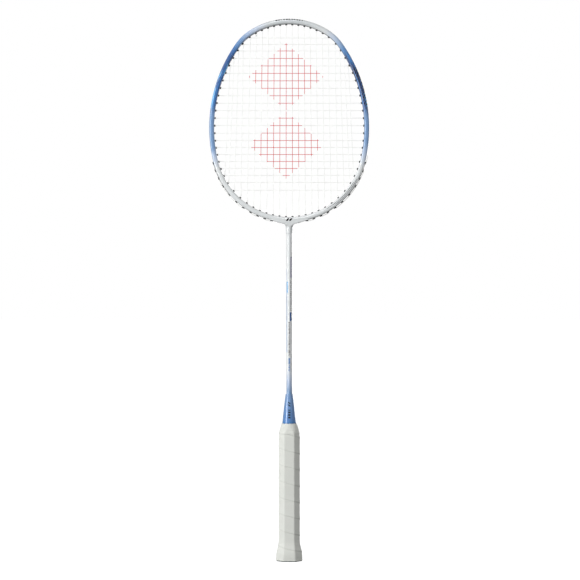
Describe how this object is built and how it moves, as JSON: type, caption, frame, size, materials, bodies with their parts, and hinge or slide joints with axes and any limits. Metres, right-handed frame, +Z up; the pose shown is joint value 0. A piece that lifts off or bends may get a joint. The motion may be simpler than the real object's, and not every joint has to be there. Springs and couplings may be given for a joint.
{
  "type": "badminton racket",
  "caption": "Badminton racket: oval hollow hoop with a woven string bed, slim round shaft, flared cone and an eight-sided handle wound with a grip band.",
  "frame": {"origin": "centre of the butt end face", "axes": "+Z up the shaft to the tip of the head, +X to the right across the face, -Y out of the front face"},
  "size_m": [0.1996, 0.0304, 0.6751],
  "materials": {
    "hoop": "lacquered carbon fibre, white at the tip and throat, blue down both sides",
    "plug": "moulded carbon and resin",
    "throat": "white lacquer",
    "shaft": "white lacquer, turning blue at the lower end",
    "cone": "blue plastic",
    "wood": "plain turned wood",
    "cap": "moulded plastic",
    "badge": "printed disc",
    "grip": "white polyurethane band",
    "tape": "white adhesive tape",
    "grommet": "black nylon",
    "string": "white nylon with a red stencilled mark"
  },
  "bodies": {
    "root": {"head_frame": "hoop", "t_plug": "plug", "throat_joint": "throat", "shaft": "shaft", "cone_cap": "cone", "handle_core": "wood", "end_cap": "cap", "end_badge": "badge", "grip_band": "grip", "finishing_tape": "tape", "tip_grommet_strip": "grommet", "left_grommet_strip": "grommet", "right_grommet_strip": "grommet", "left_throat_grommets": "grommet", "right_throat_grommets": "grommet", "main_string": "string", "cross_string": "string"}
  },
  "joints": []
}
